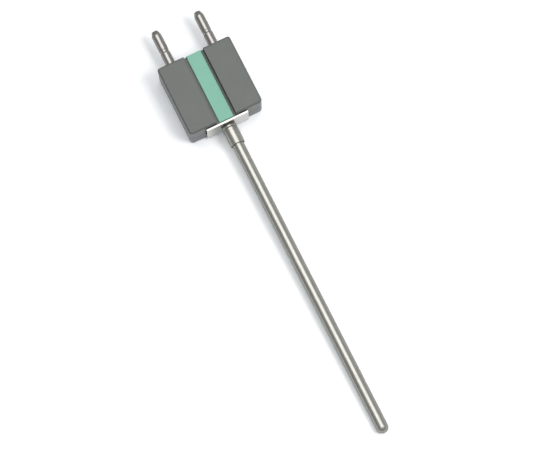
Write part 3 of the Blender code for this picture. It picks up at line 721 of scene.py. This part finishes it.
class PROBE_OT_end_plate(bpy.types.Operator):
    """Build the folded end plate, with a hooked leg at each side"""

    bl_idname = "probe.end_plate"
    bl_label = "End plate"

    def execute(self, context):
        stem = context.scene.probe_stem
        front = PLATE_HIGH[0]
        back = front - stem.plate_thickness
        half = PLATE_HIGH[1]
        fold = stem.plate_thickness / 2
        edge = stem.plate_edge
        tall = stem.plate_height / 2
        plate = block(
            "folded_plate", [(front, half), (back, half), (back, -half), (front, -half)],
            (fold, edge, edge, fold), (-tall, tall), (edge, edge), steps=ARC_POINTS,
        )
        hook_end = PLATE_LOW[0]
        leg_end = hook_end + stem.hook_length / 2
        hook_start = hook_end + stem.hook_length
        leg = stem.leg_height / 2
        hook = stem.hook_height / 2
        legs = []
        for side, sign in SIDES:
            near, far = sorted((sign * half, sign * (half - stem.plate_thickness)))
            legs.append(box("leg_" + side, (leg_end, near, -leg), (back + fold / 2, far, leg)))
            legs.append(box("hook_" + side, (hook_end, near, -hook), (hook_start, far, hook)))
        join(plate, *legs)
        cut(plate, rod("plate_hole", SHEATH_HIGH[1] + GAP, back - REACH, front + REACH))
        # Cold-rolled stainless sheet: nearly a mirror, with faint roll lines across the plate
        material = lined_metal(
            "rolled_stainless_steel", stem.plate_metal, roughness=0.12,
            spacing=0.15 * MM, stretch=(1.0, 50.0, 1.0), contrast=0.05, spots=0.03,
        )
        finish(plate, material, "end_plate")
        return {'FINISHED'}


class PROBE_OT_ferrule(bpy.types.Operator):
    """Turn the ferrule, a sleeve with a bead next to the plate"""

    bl_idname = "probe.ferrule"
    bl_label = "Ferrule"

    def execute(self, context):
        stem = context.scene.probe_stem
        start, end = PLATE_HIGH[0] + stem.bead_gap, FERRULE_HIGH[0]
        outer = FERRULE_HIGH[1]
        bore = SHEATH_HIGH[1] + stem.ferrule_gap
        sleeve = FERRULE_LOW[0] + stem.bead_length
        half_bead = (sleeve - start) / 2
        neck = outer - stem.bead_depth
        # The bead is half an ellipse: point t lies 1 + cos(t) half lengths along, and sin(t) times
        # its depth over the neck
        turn = np.linspace(0, math.pi, BEAD_POINTS)
        bead = np.stack([
            start + half_bead * (1 + np.cos(turn)), neck + stem.bead_depth * np.sin(turn),
        ], -1)
        edge = stem.ferrule_edge
        ends = [(end, bore), (end, outer), (sleeve + edge, outer), (sleeve, neck)]
        profile = np.concatenate([np.array(ends), bead[1:], [(start, bore)]])
        radii = np.zeros(len(profile))
        radii[1] = edge
        radii[2] = edge / 2
        sleeve_piece = turning("crimped_ferrule", profile, radii, closed=True)
        finish(sleeve_piece, drawn_steel(stem), "ferrule")
        return {'FINISHED'}


class PROBE_OT_sheath(bpy.types.Operator):
    """Draw the sheath, a tube with a closed round tip"""

    bl_idname = "probe.sheath"
    bl_label = "Sheath"

    def execute(self, context):
        stem = context.scene.probe_stem
        outer = SHEATH_HIGH[1]
        bore = outer - stem.sheath_wall
        # The tip is two quarter circles about one middle: point t lies a radius times cos(t) along
        # and sin(t) out, from the tip back to the side
        turn = np.linspace(0, math.pi / 2, TIP_POINTS)[:, None]
        arc = np.concatenate([np.cos(turn), np.sin(turn)], 1)
        middle = np.array([[SHEATH_HIGH[0] - outer, 0.0]])
        ends = np.array([(SHEATH_LOW[0], outer), (SHEATH_LOW[0], bore)])
        profile = np.concatenate([middle + outer * arc, ends, (middle + bore * arc)[::-1]])
        profile[[0, -1], 1] = 0.0
        tube = turning("drawn_sheath", profile)
        finish(tube, drawn_steel(stem), "sheath")
        return {'FINISHED'}


class PROBE_OT_cover_screws(bpy.types.Operator):
    """Turn the three slotted screws that hold the covers together"""

    bl_idname = "probe.cover_screws"
    bl_label = "Cover screws"

    def execute(self, context):
        body = context.scene.probe_body
        material = zinc_plate()
        shank = body.screw_diameter / 2
        slot = body.slot_width / 2
        edge = body.screw_edge
        for place in SCREW_PLACES:
            low, high = turned_box("cover_screw_" + place, ORIGIN)
            x, y = (low[:2] + high[:2]) / 2
            head = (high[0] - low[0]) / 2
            under = low[2] + body.screw_head
            profile = [
                (low[2], 0.0), (low[2], head), (under, head),
                (under, shank), (high[2], shank), (high[2], 0.0),
            ]
            radii = (0.0, edge, edge, edge, edge, 0.0)
            screw = turning("slotted_screw_" + place, profile, radii, (x, y), axis=2)
            cut(screw, box(
                "slot_" + place, (x - head - REACH, y - slot, low[2] - REACH),
                (x + head + REACH, y + slot, low[2] + body.slot_depth),
            ))
            finish(screw, material, "cover_screw_" + place)
        return {'FINISHED'}


class PROBE_OT_inner_pieces(bpy.types.Operator):
    """Dress the CAD pieces inside the body and the sheath"""

    bl_idname = "probe.inner_pieces"
    bl_label = "Inner pieces"

    def execute(self, context):
        # Free-machining brass, sawn and milled from bar: yellow, with fine cutter lines
        brass = lined_metal(
            "machined_brass", srgb("#D9B36A"), roughness=0.3,
            spacing=0.12 * MM, stretch=(40.0, 1.0, 1.0), contrast=0.10, spots=0.06,
        )
        # Nickel-chromium wire, drawn, and oxidised by its weld: grey, with lines along the wire
        alloy = lined_metal(
            "nickel_chromium_wire", srgb("#A8A196"), roughness=0.35,
            spacing=0.08 * MM, stretch=(30.0, 1.0, 1.0), contrast=0.15, spots=0.15,
        )
        # Pressed magnesia, unglazed: off-white and grainy
        ceramic = moulded(
            "pressed_magnesia", srgb("#E9E7DF"), 0.8, 0.15 * MM, cloud=0.04, relief=0.02 * MM,
        )
        # Epoxy potting, cast and self-levelling: near black and glossy
        resin = moulded(
            "cast_epoxy", srgb("#2E2D2B"), 0.25, 0.8 * MM, cloud=0.08, relief=0.004 * MM,
        )
        zinc = zinc_plate()
        dressing = {"mineral_core": ceramic, "seal_plug": resin, "measuring_junction": alloy}
        for side, sign in SIDES:
            dressing["terminal_block_" + side] = brass
            dressing["terminal_screw_" + side] = zinc
            dressing["clamp_washer_" + side] = zinc
            dressing["thermoelement_" + side] = alloy
        for name, material in dressing.items():
            mesh = frame["nodes"][name].data
            mesh.materials.clear()
            mesh.materials.append(material)
        return {'FINISHED'}


# Where the photograph was taken from, and what its frame's middle and right side point at
CAMERA_PLACE = Vector((155.22, -67.54, 652.54)) * MM
CAMERA_AIM = Vector((-1.336, -2.689, 0.0)) * MM
CAMERA_RIGHT = Vector((0.44352, 0.89607, -0.01736))

CEILING_PLACE = Vector((-0.15, 0.05, 1.27))
CEILING_SIZE = (1.15, 1.18)
WINDOW_PLACE = Vector((0.52, 0.64, 1.24))
WINDOW_SIZE = (0.60, 0.58)

TABLE_HALF = 3.0
TABLE_GLOW = (0.92, 1.0, 1.06, 1.0)    # colour of the lift, slightly blue

# The room's brightness: at its horizon, overhead, and at heights between
HORIZON = (0.95, 0.95, 0.95, 1.0)
OVERHEAD = (0.60, 0.61, 0.62, 1.0)
WALLS = ((0.03, 0.62), (0.2, 0.46), (0.45, 0.50), (0.7, 0.60))
WALL_TINT = (1.0, 1.03, 1.06)
DIM_SIDE, BRIGHT_SIDE = 0.8, 1.2


def aim(thing, place, target, right):
    """Put a lamp or camera at a place, its back away from the target and its x axis near right."""
    back = (place - target).normalized()
    side = right.normalized()
    up = back.cross(side).normalized()
    side = up.cross(back)
    turn = Matrix((side, up, back)).transposed().to_4x4()
    thing.matrix_world = Matrix.Translation(place) @ turn


def soft_box(name, power, place, size, mirrored):
    """A rectangular lamp over the probe. Only a mirrored one shows as a highlight in metal."""
    data = bpy.data.lights.new(name, 'AREA')
    data.shape = 'RECTANGLE'
    data.size, data.size_y = size
    data.energy = power
    thing = bpy.data.objects.new(name, data)
    bpy.context.scene.collection.objects.link(thing)
    thing.visible_glossy = mirrored
    aim(thing, place, Vector(), Vector((1.0, 0.0, 0.0)))


def direct_look(tree):
    """1 where the camera looks at a surface, straight or by way of metal or glass, else 0."""
    rays = add(tree, 'ShaderNodeLightPath').outputs
    seen = rays["Is Camera Ray"]
    for kind in ("Is Glossy Ray", "Is Transmission Ray"):
        seen = add(tree, 'ShaderNodeMath', {0: seen, 1: rays[kind]}, operation='MAXIMUM').outputs[0]
    return seen


class PROBE_OT_studio(bpy.types.Operator):
    """Set up the floor, the lights and the camera"""

    bl_idname = "probe.studio"
    bl_label = "Studio"

    def execute(self, context):
        studio = context.scene.probe_studio
        self.make_floor(studio)
        self.make_world(context, studio)
        soft_box("ceiling_soft_box", studio.ceiling_power, CEILING_PLACE, CEILING_SIZE, True)
        soft_box("window_soft_box", studio.window_power, WINDOW_PLACE, WINDOW_SIZE, False)
        data = bpy.data.cameras.new("camera")
        data.lens = studio.lens
        data.clip_start = 0.01
        camera = bpy.data.objects.new("camera", data)
        context.scene.collection.objects.link(camera)
        aim(camera, CAMERA_PLACE, CAMERA_AIM, CAMERA_RIGHT)
        context.scene.camera = camera
        context.scene.view_settings.view_transform = 'Standard'
        return {'FINISHED'}

    def make_floor(self, studio):
        """A wide table of white laminate: satin, with soft mirror images.

        What the camera and bright metal see of it is lifted to white, and its shadows stay.
        """
        half = TABLE_HALF
        corners = [(-half, -half, 0.0), (half, -half, 0.0), (half, half, 0.0), (-half, half, 0.0)]
        mesh = bpy.data.meshes.new("table_top")
        mesh.from_pydata(corners, [], [(0, 1, 2, 3)])
        floor = new_piece("table_top", mesh)
        material = bpy.data.materials.new("white_laminate")
        material.use_nodes = True
        tree = material.node_tree
        tree.nodes.clear()
        lift = add(tree, 'ShaderNodeMath', {
            0: direct_look(tree), 1: studio.floor_lift,
        }, operation='MULTIPLY')
        shader = add(tree, 'ShaderNodeBsdfPrincipled', {
            "Base Color": (*studio.floor_colour, 1.0), "Roughness": 0.35, "IOR": 1.45,
            "Emission Color": TABLE_GLOW, "Emission Strength": lift.outputs[0],
        })
        add(tree, 'ShaderNodeOutputMaterial', {"Surface": shader.outputs[0]})
        mesh.materials.append(material)

    def make_world(self, context, studio):
        """A room whose light falls off from a white horizon to dim grey walls.

        It is a little brighter on the window's side.
        """
        world = bpy.data.worlds.new("room")
        world.use_nodes = True
        tree = world.node_tree
        tree.nodes.clear()
        look = add(tree, 'ShaderNodeTexCoord')
        parts = add(tree, 'ShaderNodeSeparateXYZ', {0: look.outputs["Generated"]})
        ramp = add(tree, 'ShaderNodeValToRGB', {0: parts.outputs["Z"]})
        stops = ramp.color_ramp.elements
        stops[0].position, stops[0].color = 0.0, HORIZON
        stops[1].position, stops[1].color = 1.0, OVERHEAD
        for position, level in WALLS:
            stops.new(position).color = (*(level * part for part in WALL_TINT), 1.0)
        side = add(tree, 'ShaderNodeMapRange', {
            "Value": parts.outputs["Y"], "From Min": -1.0, "From Max": 1.0,
            "To Min": DIM_SIDE, "To Max": BRIGHT_SIDE,
        })
        seen = add(tree, 'ShaderNodeMapRange', {
            "Value": direct_look(tree), "To Min": studio.room_share, "To Max": 1.0,
        })
        both = add(tree, 'ShaderNodeMath', {
            0: side.outputs[0], 1: seen.outputs[0],
        }, operation='MULTIPLY')
        light = add(tree, 'ShaderNodeBackground', {
            "Color": ramp.outputs[0], "Strength": both.outputs[0],
        })
        add(tree, 'ShaderNodeOutputWorld', {"Surface": light.outputs[0]})
        context.scene.world = world


GROUPS = (
    ("probe_body", ProbeBody, (
        PROBE_OT_front_cover, PROBE_OT_rear_cover, PROBE_OT_colour_stripe, PROBE_OT_cover_screws,
    )),
    ("probe_pins", ProbePins, (PROBE_OT_pins, PROBE_OT_inner_pieces)),
    ("probe_stem", ProbeStem, (PROBE_OT_end_plate, PROBE_OT_ferrule, PROBE_OT_sheath)),
    ("probe_studio", ProbeStudio, (PROBE_OT_studio,)),
)


class PROBE_PT_panel(bpy.types.Panel):
    """Sizes, colours and build steps of the probe"""

    bl_label = "Probe"
    bl_idname = "PROBE_PT_panel"
    bl_space_type = 'VIEW_3D'
    bl_region_type = 'UI'
    bl_category = "Probe"

    def draw(self, context):
        for name, kind, steps in GROUPS:
            part = self.layout.box()
            settings = getattr(context.scene, name)
            for entry in kind.__annotations__:
                part.prop(settings, entry)
            for step in steps:
                part.operator(step.bl_idname)


def register():
    for name, kind, steps in GROUPS:
        bpy.utils.register_class(kind)
        setattr(bpy.types.Scene, name, PointerProperty(type=kind))
        for step in steps:
            bpy.utils.register_class(step)
    bpy.utils.register_class(PROBE_PT_panel)


def unregister():
    bpy.utils.unregister_class(PROBE_PT_panel)
    for name, kind, steps in reversed(GROUPS):
        for step in reversed(steps):
            bpy.utils.unregister_class(step)
        delattr(bpy.types.Scene, name)
        bpy.utils.unregister_class(kind)


def main():
    register()
    bpy.ops.probe.front_cover()
    bpy.ops.probe.rear_cover()
    bpy.ops.probe.colour_stripe()
    bpy.ops.probe.cover_screws()
    bpy.ops.probe.pins()
    bpy.ops.probe.inner_pieces()
    bpy.ops.probe.end_plate()
    bpy.ops.probe.ferrule()
    bpy.ops.probe.sheath()
    bpy.ops.probe.studio()


if __name__ == "__main__":
    main()
